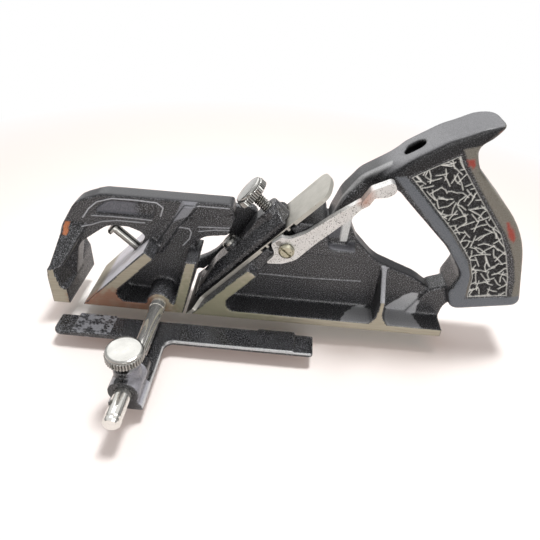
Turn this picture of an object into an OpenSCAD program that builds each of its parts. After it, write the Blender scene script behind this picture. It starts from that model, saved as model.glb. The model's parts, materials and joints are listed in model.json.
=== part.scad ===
// Cast-iron rebate plane with a bullnose seat at the toe, a closed handle cast in one with the body,
// a lever-adjusted cutter, a fence on a rod, a depth stop and a spur.
// X runs from toe to heel, Y to the plane's right, Z up. The sole lies on Z = 0.
// Modules are laid out with X measured from the toe; place() then centres the sole on the origin.

/* [Sole] */
// Length of the sole
sole_len = 215; // [205:1:225]
// Width of the sole and of the cutting edge
sole_w = 38; // [36:0.5:42]
// Thickness of the sole plate
sole_t = 5; // [4:0.5:6]
// Length of the toe block along the sole
toe_len = 9.7; // [8:0.1:11]
// Height of the toe block's flat side
toe_h = 20.5; // [18:0.5:22]
// Opening of the bullnose mouth along the sole
bull_mouth = 7; // [6:0.5:8]

/* [Beds] */
// Slope of the bullnose bed, in degrees
bull_pitch = 46; // [44:0.5:48]
// Length of the bullnose bed along its slope
bull_len = 55; // [52:1:58]
// Slope of the main bed, in degrees
bed_pitch = 48; // [46:0.5:50]
// Where the main bed meets the sole, from the toe
bed_x = 77.5; // [76:0.5:80]
// Length of the main bed along its slope
bed_len = 82; // [79:1:85]
// Length of the main bed that is as wide as the sole
bed_wide_len = 46; // [42:1:48]
// Thickness of both bed plates
bed_t = 6.5; // [5:0.5:8]
// Opening of the main mouth ahead of the cutting edge
mouth_gap = 1.5; // [1:0.1:2.5]
// Thickness of the wall ahead of the main mouth
wall_t = 6; // [5:0.5:7]
// Height of that wall
wall_h = 35; // [32:0.5:37]
// Height of that wall to the right of the web
wall_low = 14; // [12:0.5:14.5]
// Backward lean of that wall, in degrees from upright
wall_lean = 14; // [11:0.5:16]
// Radius of the fillet between each bed plate and the sole
bed_fillet = 5; // [4:0.5:5.5]

/* [Casting] */
// Thickness of the webs along the middle
web_t = 9; // [8:0.5:11]
// Thickness of the front arch
arch_t = 10; // [9:0.5:12]
// Height of the arch's top above the sole
arch_top = 63; // [61:0.5:66]
// Depth of the sunk panels in the arch
panel_depth = 1.8; // [1:0.1:2.5]
// How far the slanting rib stands out of the web
rib_out = 2; // [1:0.5:3]
// Radius of the boss that takes the fence rod
boss_r = 6.8; // [6:0.1:7.5]
// Thickness of the cheek that joins the two halves on the right
cheek_t = 5.5; // [4:0.5:6]
// Place of the upright gusset, forward of the grip's foot
gusset_fore = 35; // [30:1:40]
// Thickness of the upright gusset
gusset_t = 3; // [2:0.5:4]

/* [Handle] */
// Distance of the grip's foot behind the top of the main bed
grip_back = 82.6; // [80:0.2:88]
// Thickness of the grip and horn
grip_t = 24; // [20:1:24]
// Thickness of the neck that carries the horn
neck_t = 16; // [12:1:18]
// Radius of the rounding along the grip's edges
grip_round = 2; // [1.6:0.2:3.6]
// Depth of the sunk panel in the grip's side
grip_panel_depth = 1.2; // [0.8:0.1:2]
// Width of the blind oval recess in the horn's top
horn_recess_w = 8; // [6:0.5:10]
// Radius of the horn's tip, seen from above
horn_tip_r = 7; // [6:0.5:9]

/* [Cutter] */
// Thickness of the cutter
cutter_t = 2.2; // [1.8:0.1:2.6]
// Length of the cutter from its edge
cutter_len = 107; // [102:1:112]
// Width of the cutter's shank
shank_w = 26; // [24:0.5:26]
// Length over which the cutter widens to its edge
flare_len = 9; // [8:0.5:10]
// Bevel angle of the cutting edge, in degrees
bevel = 27; // [23:1:32]
// Width of the slot that passes the hook screw
cutter_slot_w = 6.5; // [6:0.1:8]

/* [Lever cap] */
// Width of the lever cap where it lies along the cutter
cap_w = 21; // [18:0.5:23]
// Width of the lever cap's flat top
cap_top_w = 10; // [9:0.5:12]
// Height of the lever cap's boss over the cutter
cap_h = 10.5; // [10:0.1:12]
// Where the lever cap's lip presses, along the bed
cap_lip_s = 5; // [4:0.5:6]
// Depth of the hollow under the lever cap
cap_hollow = 3; // [2:0.2:4]

/* [Screws] */
// Distance of each hook screw from its mouth, along the bed
hook_s = 41; // [39:0.5:43]
// Diameter of the hook screws
hook_d = 5; // [4:0.1:5.4]
// Diameter of the hook screws' heads
hook_head_d = 9; // [8:0.5:10]
// Thickness of the hook screws' heads
hook_head_t = 2.8; // [2:0.1:3.2]
// Height of the bullnose hook screw's head over its bed
bull_hook_h = 15.2; // [12:0.2:17]
// Distance of the lever cap's thumb screw from the mouth, along the bed
cap_screw_s = 70.5; // [69:0.5:72]
// Diameter of the thumb screws
thumb_d = 6; // [5:0.1:6.5]
// Diameter of the knurled heads
knob_d = 17.5; // [15:0.5:18]
// Thickness of the knurled heads
knob_t = 6; // [5:0.5:7]
// Bare thread between the lever cap's boss and the screw's head
cap_thread = 8.2; // [7:0.2:10]
// Bare thread between the fence's boss and the screw's head
fence_thread = 3.5; // [2:0.5:6]

/* [Adjusting lever] */
// Place of the lever's pivot along the bed
pivot_s = 67.7; // [66:0.1:69]
// Depth of the lever's pivot below the bed
pivot_depth = 5.7; // [5.2:0.1:6]
// Thickness of the lever
lever_t = 3.2; // [2.6:0.1:3.4]
// Diameter of the pivot screw's shoulder
pivot_d = 5.2; // [4.4:0.1:5.6]
// Diameter of the pivot screw's head
pivot_head_d = 8; // [7:0.5:9]
// Diameter of the stud that moves the cutter
stud_d = 3; // [2.4:0.1:3.2]
// Distance between the cross grooves under the cutter
groove_pitch = 5; // [4.6:0.1:6]

/* [Fence] */
// Diameter of the fence rod
rod_d = 8; // [7:0.5:8.5]
// Height of the rod above the sole
rod_z = 6; // [5.5:0.1:6.6]
// Place of the rod, from the toe
rod_x = 60; // [58:0.5:61]
// Length of the rod outside the body
rod_out = 79.7; // [75:0.5:85]
// Diameter of the rod's threaded end
rod_thread_d = 6.8; // [6:0.1:7]
// Depth of the threaded socket on each side
socket_depth = 14; // [12:0.5:14.5]
// Length of the fence
fence_len = 138; // [130:1:146]
// Where the fence starts, from the toe
fence_x = 7.5; // [4:0.5:12]
// Gap between the body's side and the fence's face
fence_gap = 6; // [4:0.5:10]
// Width of the fence plate
fence_w = 14.2; // [12:0.2:18]
// Thickness of the fence plate
fence_t = 3; // [2.5:0.5:4]
// Drop of the fence plate's top below the sole
fence_drop = 1.5; // [1.2:0.1:2.5]
// Height of the fence's guide face
guide_h = 10.5; // [9:0.5:14]
// Thickness of the fence's guide wall
guide_t = 4; // [3:0.5:5]
// Width of the fence's arm
arm_w = 16; // [14:0.5:18]
// Distance of the arm's outer end from the body's side
arm_out = 63; // [60:0.5:66]
// Radius of the fillets between the arm and the fence plate
arm_fillet = 5; // [3:0.5:7]
// Length of the arm's rod sleeve
sleeve_len = 20; // [18:0.5:24]

/* [Depth stop and spur] */
// Place of the depth stop, from the toe
stop_x = 126; // [124:0.5:128]
// Width of the depth stop's slide
stop_w = 14; // [12:0.5:15]
// Thickness of the depth stop's slide and foot
stop_t = 3; // [2.5:0.5:4]
// Height of the foot's underside above the sole
stop_rest = 8; // [6:0.5:10]
// Length of the depth stop's slide
stop_h = 37; // [35:1:40]
// Height of the depth stop's screw above the foot's underside
stop_screw_up = 20; // [19:0.5:21]
// Length of the depth stop's foot
foot_len = 30; // [24:1:36]
// Width of the depth stop's foot, out from the body
foot_w = 14; // [12:0.5:18]
// Place of the spur, from the toe
spur_x = 68.2; // [68:0.1:68.6]
// Height of the spur's centre above the sole
spur_z = 3.8; // [3.6:0.1:4]
// Reach of the spur's lobes
spur_r = 4.4; // [4.2:0.1:4.5]
// Thickness of the spur
spur_t = 1.4; // [1.2:0.1:1.8]

/* [Hidden] */
// Clearances: turning fits, seats of flat pieces, sliding pieces and loose passages
fit = 0.05;
seat = 0.05;
slide = 0.3;
loose = 0.6;
eps = 0.01;
$fn = 48;

half_w = sole_w / 2;
half_web = web_t / 2;
half_grip = grip_t / 2;
half_shank = shank_w / 2;
cheek_in = max(half_w - cheek_t, half_shank + 0.5);
bull_x = toe_len + bull_mouth;
// Height of the cutter's upper face over the bed, and where it meets the sole
cutter_top = seat + cutter_t;
edge_x = bed_x - cutter_top / sin(bed_pitch);
mouth_x = edge_x - mouth_gap;
// Lever cap: underside, boss top, flat and the seat of the hook screw's head, all over the bed
cap_low = cutter_top + seat;
cap_top = cutter_top + cap_h;
cap_flat = cap_low + 0.65 * cap_h;
cap_seat = cap_low + 0.85 * cap_h;
hook_tip = bed_t + 3;
// Lever: it swings just outside the grip and the cutter's edge
frog_y = max(half_grip, half_shank);
lever_in = frog_y + loose;
lever_out = lever_in + lever_t;
stud_r = stud_d / 2;
// The stud's centre lies just under the cutter, above the pivot
stud_over = pivot_depth - 0.2;
pivot_x = bed_x + pivot_s * cos(bed_pitch) + pivot_depth * sin(bed_pitch);
pivot_z = pivot_s * sin(bed_pitch) - pivot_depth * cos(bed_pitch);
// Fence: its face and back, seen along Y, and the sleeve round the rod
fence_face = -half_w - fence_gap;
fence_back = fence_face - fence_w;
fence_top = -fence_drop;
arm_end = -half_w - arm_out;
sleeve_r = rod_d / 2 + 3.2;
fence_screw_y = arm_end + 8.5;
boss_top = rod_z + sleeve_r;
neck_h = 3;
rod_end = -half_w - rod_out;
collar_t = 5;
collar_r = rod_d / 2 + 0.3;
// Depth stop: the top of the pad it slides on, its screw and the washer under the screw's head
pad_top = stop_rest + stop_h - 0.5;
stop_screw_z = stop_rest + stop_screw_up;
stop_travel = 10;
washer_t = thumb_d / 5;
washer_d = 11 / 6 * thumb_d;
// Outlines of the handle and of the web under it are measured from the grip's foot
foot = bed_x + bed_len * cos(bed_pitch) + grip_back;
horn_end = foot + 4;

function unit(v) = v / norm(v);
function turn(a, b) = (b - a + 540) % 360 - 180;

// Arc that rounds corner b, given as [x, y, r], between its neighbours a and c
function corner(a, b, c, n) =
    let (p = [b[0], b[1]])
    let (u = unit([a[0], a[1]] - p), v = unit([c[0], c[1]] - p))
    let (half = acos(u * v) / 2, o = p + unit(u + v) * b[2] / sin(half))
    let (f = p + u * b[2] / tan(half) - o, g = p + v * b[2] / tan(half) - o)
    let (a0 = atan2(f[1], f[0]), sweep = turn(a0, atan2(g[1], g[0])))
    b[2] == 0 ? [p] : [for (i = [0:n]) o + b[2] * [cos(a0 + sweep * i / n), sin(a0 + sweep * i / n)]];

// Outline from corners [x, y, r]
function rounded(c, n = 8) =
    let (k = len(c))
    [for (i = [0:k - 1]) each corner(c[(i + k - 1) % k], c[i], c[(i + 1) % k], n)];

// Solid with an outline in X and Z, from y0 to y1
module slab(points, y0, y1) {
    translate([0, y1, 0]) rotate([90, 0, 0]) linear_extrude(y1 - y0) polygon(points);
}

module mid_slab(points, t) {
    slab(points, -t / 2, t / 2);
}

// Point at s up the main bed's slope and d over it
function bed_point(s, d) =
    [bed_x + s * cos(bed_pitch) - d * sin(bed_pitch), s * sin(bed_pitch) + d * cos(bed_pitch)];

// Frame of a bed: X up the slope, Z square to it
module on_bed(x, pitch) {
    translate([x, 0, 0]) rotate([0, -pitch, 0]) children();
}

module on_main_bed() {
    on_bed(bed_x, bed_pitch) children();
}

module on_bull_bed() {
    on_bed(bull_x, bull_pitch) children();
}

// Cylinder along Y, from y0 to y1
module y_rod(x, z, r, y0, y1) {
    translate([x, y1, z]) rotate([90, 0, 0]) cylinder(r = r, h = y1 - y0);
}

// Straight slot across a screw's head
module screw_slot(r, w, depth) {
    translate([-r - 1, -w / 2, -depth]) cube([2 * r + 2, w, depth + 1]);
}

// Knurled thumb screw standing on Z = 0: the tip is at -reach, the head starts at stand
module thumb_screw(reach, stand) {
    chamfer = 0.8;
    r = knob_d / 2;
    translate([0, 0, -reach]) cylinder(d = thumb_d, h = reach + stand + chamfer);
    translate([0, 0, stand]) rotate_extrude() polygon([
        [0, 0], [r - 2 * chamfer, 0], [r, chamfer], [r, knob_t - 2 * chamfer],
        [r - chamfer, knob_t - chamfer], [r * 0.6, knob_t], [0, knob_t]]);
}

// Outlines of the casting, as [x, z, r]

function toe_outline() = rounded([
    [0, 0, 0], [toe_len, 0, 0], [toe_len, toe_h * 0.75, 4], [toe_len - 3, toe_h + 2, 0], [0.6, toe_h + 2, 0],
    [0, toe_h - 4, 8]]);

// The arch springs from the toe, runs level and ends over the throat
function arch_outline() =
    let (lift = arch_top - 63)
    rounded([
        [0.8, toe_h, 0], [6, 41, 24], [16.5, 57.5 + lift, 16], [31, arch_top, 18],
        [web_front_top(), arch_top, 1.5], [web_front_top() + 1.5, 57.5 + lift, 0], [60, 50 + lift, 0],
        [bull_top_x() + 3, 31, 0], [bull_top_x() - 1.5, 32, 0], [51.5, 41, 5], [43, 44.5 + lift, 8],
        [32, 44.5 + lift, 12], [14, 31, 14], [toe_len - 0.5, 9, 0], [2, 9, 0]]);

function bull_top_x() = bull_x + (bull_len - 3) * cos(bull_pitch);
function web_front_top() = edge_x + 23.5;

// Web between the bullnose bed, the throat wall and the arch, with the throat window left open
function front_web_outline() =
    let (lift = arch_top - 63, b = edge_x - 74.5)
    rounded([
        [bull_x + 4, 1, 0], [mouth_x - 3, 1, 0], [b + 77.5, 28, 3], [b + 78.5, 38.5, 3], [b + 84, 42.3, 8],
        [b + 96, 44.2, 2], [b + 99, 53.5 + lift, 2], [web_front_top() - 1, arch_top - 2, 0],
        [60, arch_top - 2, 0], [bull_top_x() - 2, 38, 0], [bull_top_x() - 6, 30, 0]]);

function throat_wall_outline(h) =
    let (k = tan(wall_lean), t = wall_t / cos(wall_lean))
    [[mouth_x - t, 0], [mouth_x, 0], [mouth_x + h * k, h], [mouth_x - t + h * k, h]];

// Fillet that fills the corner between the underside of a bed plate and the sole
function bed_fillet_outline(x, pitch) =
    let (c = cos(pitch), s = sin(pitch), r = bed_fillet, run = bed_fillet / tan(pitch / 2))
    let (corner_x = x + (sole_t + bed_t * c) / tan(pitch) + bed_t * s, o = [corner_x + run, sole_t + r])
    concat([[corner_x - 1, sole_t - 1], [corner_x + run, sole_t - 1]],
        [for (i = [0:10]) let (a = 270 - (180 - pitch) * i / 10) o + r * [cos(a), sin(a)]],
        [[corner_x + run * c - s, sole_t + run * s + c]]);

function rear_web_outline() =
    let (top_x = bed_x + (bed_len - 2) * cos(bed_pitch), top_z = (bed_len - 2) * sin(bed_pitch))
    rounded([
        [bed_x + 7, 2, 0], [foot, 2, 0], [foot + 1.5, 16, 0], [foot - 3, 23, 0], [foot - 8.5, 21.5, 5],
        [foot - 17, 27.4, 20], [foot - 41, 37, 25], [foot - 52.5, 49, 10], [foot - 57, 58, 6],
        [top_x + 14, top_z, 3],
        [top_x, top_z - 1, 0], [bed_x + 10, 8.5, 0]]);

// Block that carries the upper bed, the pivot and the neck of the handle
function frog_outline() =
    let (c = cos(bed_pitch), s = sin(bed_pitch), low = bed_wide_len - 1)
    rounded([
        [bed_x + low * c, low * s, 0], [bed_x + bed_len * c, bed_len * s, 0],
        [foot - 69, bed_len * s - 0.5, 2], [foot - 67, 47, 3], [foot - 52, 46.5, 1], [foot - 54, 42.5, 2],
        [pivot_x + 9, 42.5, 5], [pivot_x - 8, pivot_z - 11, 3], [bed_x + low * c + 5, low * s - 6, 0]]);

function neck_outline() = rounded([
    [foot - 70, 44, 0], [foot - 67.5, 62, 0], [foot - 63.5, 73, 10], [foot - 56.3, 84.8, 12],
    [foot - 42, 94, 0], [foot - 26, 99, 0], [foot - 37, 82, 0], [foot - 46, 78, 7], [foot - 56.5, 68, 10],
    [foot - 57.5, 44, 0]]);

// Grip and horn; each rounding layer draws its outline in by d
function grip_outline(d) = rounded([
    [foot - 48 + d, 86.5, 0], [foot - 35, 98.3 - d, 30], [foot - 21, 107.6 - d, 25],
    [foot - 6, 114 - d, 20], [horn_end - d, 115.6 - d, 1], [foot - 1 - d, 109, 2.4],
    [foot - 7.2 - d, 105, 5], [foot - 5 - d, 95, 9], [foot + 26 - d, 65, 60],
    [foot + 38.6 - d, 20.5 + d, 4], [foot + 3, 13.8 + d, 5], [foot - 1 + d, 25, 5], [foot + 3.2 + d, 37, 7],
    [foot - 8.6 + d, 52.6 + d, 20], [foot - 38 + d, 80.5 + d, 3], [foot - 47 + d, 83, 0]], 6);

function grip_panel_outline() = rounded([
    [foot - 35.5, 89, 2], [foot - 15, 102, 2], [foot - 11.5, 96, 4], [foot + 20, 61, 50],
    [foot + 30.5, 26, 2], [foot + 9, 22.5, 2], [foot + 7.5, 40, 20], [foot - 10, 63, 40]], 6);

// Thicker web under the grip, round the bottom of the hand hole
function heel_web_outline() = rounded([
    [foot - 20, 2, 0], [foot, 2, 0], [foot + 1.2, 11, 4], [foot + 4, 16, 0], [foot + 6, 36, 0],
    [foot, 48, 0], [foot + 3.4, 39, 5], [foot + 0.8, 26, 6], [foot - 9, 22, 4]]);

function cheek_outline() =
    let (b = edge_x - 74.5, far = stop_x + stop_w / 2)
    rounded([
        [b + 85, 41, 3], [b + 85, 50.5, 2], [b + 106, 53, 3], [b + 110, 49, 3], [b + 109, 44, 2],
        [far, 44.5, 2], [far, 36, 0], [b + 117, 28, 3], [b + 104, 25, 5]]);

// Foot of the cheek: it springs from the low wall, clears the cutter's edge and stands on the bed's margin
function cheek_foot_outline() =
    let (b = edge_x - 74.5, over = cutter_top + 1.8, clear = flare_len + 3)
    [[mouth_x - 1, over + 4], bed_point(flare_len - 2, over), bed_point(clear, over),
        bed_point(clear + 1, -1), bed_point(hook_s - 4, -1), [b + 103, 31], [b + 92.6, 29],
        [b + 86.3, 21.2], [b + 82.2, 17.8], [mouth_x + 2, wall_low - 0.2]];

// Sole plates, each with its front edge on the slope of its bed
module sole() {
    for (part = [[bull_x, mouth_x, bull_pitch], [bed_x, sole_len, bed_pitch]])
        mid_slab([[part[0], 0], [part[1], 0], [part[1], sole_t], [part[0] + sole_t / tan(part[2]), sole_t]],
            sole_w);
}

// Toe block, the flare that narrows it into the arch, and the scoop that clears shavings behind it
module toe() {
    flare_top = 44;
    difference() {
        union() {
            mid_slab(toe_outline(), sole_w);
            hull() {
                translate([0.8, -half_w + 0.5, toe_h - 2]) cube([5, sole_w - 1, 3]);
                translate([8.8, -arch_t / 2, flare_top]) cube([12, arch_t, 1]);
            }
        }
        translate([toe_len - 3, -half_w, 10]) rotate([0, 0, -7.8]) rotate([0, -11.7, 0])
            translate([0, -10, 0]) cube([20, sole_w + 20, toe_h - 8]);
    }
}

module arch() {
    panel = [[24, 51.5, 1.5], [34, arch_top - 3.5, 10], [61, arch_top - 3.5, 3], [57, 51.5, 3]];
    difference() {
        mid_slab(arch_outline(), arch_t);
        for (side = [-1, 1])
            translate([0, side * (arch_t / 2 - panel_depth / 2 + 0.5), 0])
                mid_slab(rounded(panel), panel_depth + 1);
    }
}

// Raised rib that runs from the bullnose bed up to the arch, on both sides
module slanting_rib() {
    x0 = bull_top_x() + 2;
    top = arch_top - rib_out;
    mid_slab(rounded([
        [x0, 31, 0], [x0 + 5, 31, 0], [x0 + 16, 49, 6], [x0 + 26, top, 0], [x0 + 19, top, 0],
        [x0 + 11, 49, 6]]), arch_t + 2 * rib_out);
}

module bed_plates() {
    below = 20;
    intersection() {
        union() {
            on_bull_bed() translate([-below, -half_w, -bed_t]) cube([bull_len + below, sole_w, bed_t]);
            on_main_bed() translate([-below, -half_w, -bed_t]) cube([bed_wide_len + below, sole_w, bed_t]);
        }
        translate([0, -half_w, 0]) cube([sole_len, sole_w, arch_top]);
    }
}

// Right cheek past the cutter's shank, its bridge from the web, and the pad of the depth stop
module cheek() {
    b = edge_x - 74.5;
    bridge = [[b + 83, 46, 0], [b + 92, 46, 0], [b + 97.5, 52, 1], [b + 84, 52, 1]];
    slab(cheek_outline(), cheek_in, half_w);
    slab(cheek_foot_outline(), cheek_in, half_w);
    slab(rounded(bridge), 0, half_w);
    difference() {
        translate([stop_x - stop_w / 2, 0, sole_t / 2]) cube([stop_w, half_w, pad_top - sole_t / 2]);
        on_main_bed() translate([0, -half_w, 0]) cube([bed_len, half_w + cheek_in, pad_top]);
    }
}

// Gusset from the web out to the sole's edges, with a flush foot
module gussets() {
    x = foot - gusset_fore;
    foot_h = 20;
    for (side = [0, 1]) mirror([0, side, 0]) {
        translate([x - gusset_t / 2, 0, 0]) rotate([90, 0, 90]) linear_extrude(gusset_t)
            polygon([[0, 1], [half_w, 1], [half_w, foot_h], [half_web, 34], [0, 34]]);
        slab(rounded([[x - 6, sole_t - 1, 0], [x + 6, sole_t - 1, 0], [x + 2, 10, 6], [x + 1.5, foot_h, 1],
            [x - 1.5, foot_h, 1], [x - 2, 10, 6]]), half_web, half_w);
    }
}

// Corners taken off the horn's tip, seen from above
module horn_tip_cut() {
    low = 104.5;
    tip = rounded([
        [horn_end - grip_t, -half_grip, 0], [horn_end, -half_grip, horn_tip_r],
        [horn_end, half_grip, horn_tip_r], [horn_end - grip_t, half_grip, 0]]);
    translate([0, 0, low]) linear_extrude(20) difference() {
        translate([horn_end - horn_tip_r, -half_grip - 1]) square([horn_tip_r + 1, grip_t + 2]);
        polygon(tip);
    }
}

// Grip built up in layers that draw in towards the sides, with a sunk panel on each side
module grip() {
    layers = 4;
    last = 70;
    difference() {
        for (a = [0:last / (layers - 1):last])
            mid_slab(grip_outline(grip_round * (1 - cos(a))), grip_t - 2 * grip_round * (sin(last) - sin(a)));
        for (side = [-1, 1])
            translate([0, side * half_grip, 0]) mid_slab(grip_panel_outline(), 2 * grip_panel_depth);
        horn_tip_cut();
    }
}

// Oval recess sunk into the horn's top
module horn_recess() {
    translate([foot - 32, 0, 97]) rotate([0, -29, 0]) for (dx = [-1.2, 1.2])
        translate([dx, 0, -2]) cylinder(d = horn_recess_w, h = 20);
}

// Hole for a hook screw, square to a bed
module hook_bore() {
    translate([hook_s, 0, -hook_tip - 1]) cylinder(d = hook_d + 2 * fit, h = hook_tip + 2);
}

// What the lever's stud and the pivot screw need in the block that carries them
module lever_room() {
    run = 8;
    on_main_bed() translate([pivot_s - run, -frog_y - 1, -stud_r - 2])
        cube([2 * run, 1 + frog_y / 2, stud_r + 3]);
    y_rod(pivot_x, pivot_z, pivot_d / 2 + fit, -frog_y - 1, -half_web + 2);
}

// Room that the spur turns in, at the right edge of the sole
module spur_room() {
    y_rod(spur_x, spur_z, spur_r + slide, half_w - spur_t - 0.2, half_w + 1);
    y_rod(spur_x, spur_z, 1.2 + fit, half_w - 9, half_w);
}

module plane_body() {
    color("#1d1d1f") difference() {
        union() {
            sole();
            toe();
            arch();
            slanting_rib();
            mid_slab(front_web_outline(), web_t);
            slab(throat_wall_outline(wall_h), -half_w, half_web);
            slab(throat_wall_outline(wall_low), 0, half_w);
            bed_plates();
            mid_slab(bed_fillet_outline(bull_x, bull_pitch), sole_w);
            mid_slab(bed_fillet_outline(bed_x, bed_pitch), sole_w);
            mid_slab(rear_web_outline(), web_t);
            mid_slab(heel_web_outline(), web_t + 4);
            slab(frog_outline(), -frog_y, cheek_in + 1);
            mid_slab(neck_outline(), neck_t);
            cheek();
            gussets();
            grip();
            intersection() {
                y_rod(rod_x, rod_z, boss_r, -half_w, half_w);
                translate([0, -half_w, 0]) cube([sole_len, sole_w, arch_top]);
            }
        }
        for (side = [-1, 1])
            translate([rod_x, side * half_w, rod_z]) rotate([side * 90, 0, 0])
                translate([0, 0, -1]) cylinder(d = rod_thread_d + 2 * fit, h = socket_depth + 1);
        on_main_bed() hook_bore();
        on_bull_bed() hook_bore();
        lever_room();
        spur_room();
        horn_recess();
        y_rod(stop_x, stop_screw_z, thumb_d / 2 + fit, half_web, half_w + 1);
    }
}

module cutter() {
    edge_s = -cutter_top / tan(bed_pitch);
    end_s = edge_s + cutter_len;
    bevel_s = edge_s + cutter_t / tan(bevel);
    plan = rounded([
        [edge_s - 1, -half_w, 0], [flare_len - 5, -half_w, 2], [flare_len, -half_shank, 4],
        [end_s - 3.5, -half_shank, 6], [end_s, 0, 25], [end_s - 3.5, half_shank, 6],
        [flare_len, half_shank, 4], [flare_len - 5, half_w, 2], [edge_s - 1, half_w, 0]]);
    slot_run = 8;
    color("#cfcabb") on_main_bed() difference() {
        intersection() {
            linear_extrude(cutter_top + 1) polygon(plan);
            mid_slab([[edge_s, cutter_top], [bevel_s, seat], [end_s + 1, seat], [end_s + 1, cutter_top]],
                sole_w);
        }
        for (dx = [-slot_run, slot_run])
            translate([hook_s + dx, 0, -1]) cylinder(d = cutter_slot_w, h = cutter_top + 2);
        translate([hook_s - slot_run, -cutter_slot_w / 2, -1])
            cube([2 * slot_run, cutter_slot_w, cutter_top + 2]);
        for (i = [-2:2])
            translate([pivot_s + i * groove_pitch - stud_r - slide, -half_shank - 1, -1])
                cube([2 * (stud_r + slide), half_shank / 2 + 3, 1 + 0.7 * cutter_t]);
    }
}

module lever_cap() {
    end_s = cap_screw_s + 4.5;
    wall = 2.5;
    half_flat = cap_top_w / 2;
    hollow_s = cap_lip_s + 8;
    // Side view: lip, slope up to the flat, rise to the boss round the thumb screw
    side = rounded([
        [cap_lip_s, cap_low, 0], [end_s, cap_low, 1], [end_s, cap_top, 2.5], [cap_screw_s - 7, cap_top, 4],
        [hook_s + 4, cap_flat, 10], [hook_s - 13, cap_flat, 5], [cap_lip_s, cap_low + 1.6, 0.8]]);
    // End view: upright skirts, slopes in to the flat, then the sides of the rise
    end = rounded([
        [-cap_w / 2, cap_low - 1, 0], [cap_w / 2, cap_low - 1, 0], [cap_w / 2, cap_low + 3, 1.5],
        [half_flat + 0.5, cap_flat - 0.2, 1], [half_flat, cap_top + 1, 0], [-half_flat, cap_top + 1, 0],
        [-half_flat - 0.5, cap_flat - 0.2, 1], [-cap_w / 2, cap_low + 3, 1.5]]);
    color("#202022") on_main_bed() difference() {
        union() {
            intersection() {
                mid_slab(side, cap_w);
                rotate([90, 0, 90]) linear_extrude(end_s + 1) polygon(end);
            }
            translate([hook_s, 0, cap_low]) cylinder(d = hook_head_d + 1, h = cap_seat - cap_low);
            translate([cap_screw_s, 0, cap_low]) cylinder(d = 2.1 * thumb_d, h = cap_top - cap_low);
        }
        translate([hollow_s, wall - cap_w / 2, 0])
            cube([cap_screw_s - 8 - hollow_s, cap_w - 2 * wall, cap_low + cap_hollow]);
        translate([hook_s, 0, 0]) cylinder(d = hook_d + 2 * loose, h = cap_top + 1);
        translate([cap_screw_s, 0, 0]) cylinder(d = thumb_d + 2 * fit, h = cap_top + 1);
    }
}

module lever_cap_screw() {
    color("#c9c9c6") on_main_bed() translate([cap_screw_s, 0, cap_top])
        thumb_screw(cap_top - cap_low, cap_thread);
}

// Slotted hook screw, square to the bed, with its head at height h
module hook_screw(h) {
    r = hook_head_d / 2;
    color("#b9b7b0") translate([hook_s, 0, 0]) difference() {
        union() {
            translate([0, 0, -hook_tip]) cylinder(d = hook_d, h = hook_tip + h + eps);
            translate([0, 0, h]) rotate_extrude() polygon([
                [0, 0], [r, 0], [r, hook_head_t * 0.5], [r - 1, hook_head_t * 0.85], [0, hook_head_t]]);
        }
        translate([0, 0, h + hook_head_t]) screw_slot(r, 1.2, 1.2);
    }
}

module main_hook_screw() {
    on_main_bed() hook_screw(cap_seat + seat);
}

module bullnose_hook_screw() {
    on_bull_bed() hook_screw(bull_hook_h);
}

// Flat lever: hub, forward horn and bar, then a thumb pad past a narrow neck
module adjusting_lever() {
    bar = rounded([
        [-10, -9, 0.6], [-2, -8.5, 6], [5, -5.5, 10], [13, 4.2, 14], [28.6, 20.6, 0], [34.8, 28.6, 1.5],
        [33, 31.5, 1.5], [23, 23.5, 0], [9, 11, 12], [1, 6.5, 6], [-3, 7.2, 1], [-8, 2.6, 1.5],
        [-5.5, -3, 4]]);
    pad = rounded([
        [33, 27.5, 0], [36, 29.8, 1], [38, 33.8, 1], [43.5, 34.6, 3], [47.5, 37.4, 3], [45.5, 42.5, 2],
        [36, 37.5, 2.5], [32.5, 31, 0]]);
    pad_out = 2;
    color("#d4d4d2") translate([pivot_x, 0, pivot_z]) difference() {
        union() {
            slab(bar, -lever_out, -lever_in);
            slab(pad, -lever_out - pad_out, -lever_in);
        }
        y_rod(0, 0, pivot_d / 2 + fit, -lever_out - 1, -lever_in + 1);
        rotate([0, -bed_pitch, 0]) y_rod(0, stud_over, stud_r, -lever_out - 1, -lever_in + 1);
    }
}

// Stud riveted in the lever; it reaches under the cutter into a cross groove
module lever_stud() {
    color("#9a9892") translate([pivot_x, 0, pivot_z]) rotate([0, -bed_pitch, 0])
        y_rod(0, stud_over, stud_r, -lever_out, -frog_y * 0.6);
}

// Shouldered screw that the lever turns on
module lever_pivot_screw() {
    head_t = 1.8;
    r = pivot_head_d / 2;
    color("#bdb9a8") translate([pivot_x, 0, pivot_z]) difference() {
        union() {
            y_rod(0, 0, pivot_d / 2, -lever_out - slide - eps, -half_web + 1);
            translate([0, -lever_out - slide, 0]) rotate([90, 0, 0]) rotate_extrude() polygon([
                [0, 0], [r, 0], [r, head_t * 0.6], [r - 1, head_t], [0, head_t]]);
        }
        translate([0, -lever_out - slide - head_t, 0]) rotate([90, 40, 0]) screw_slot(r, 1, 1);
    }
}

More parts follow.
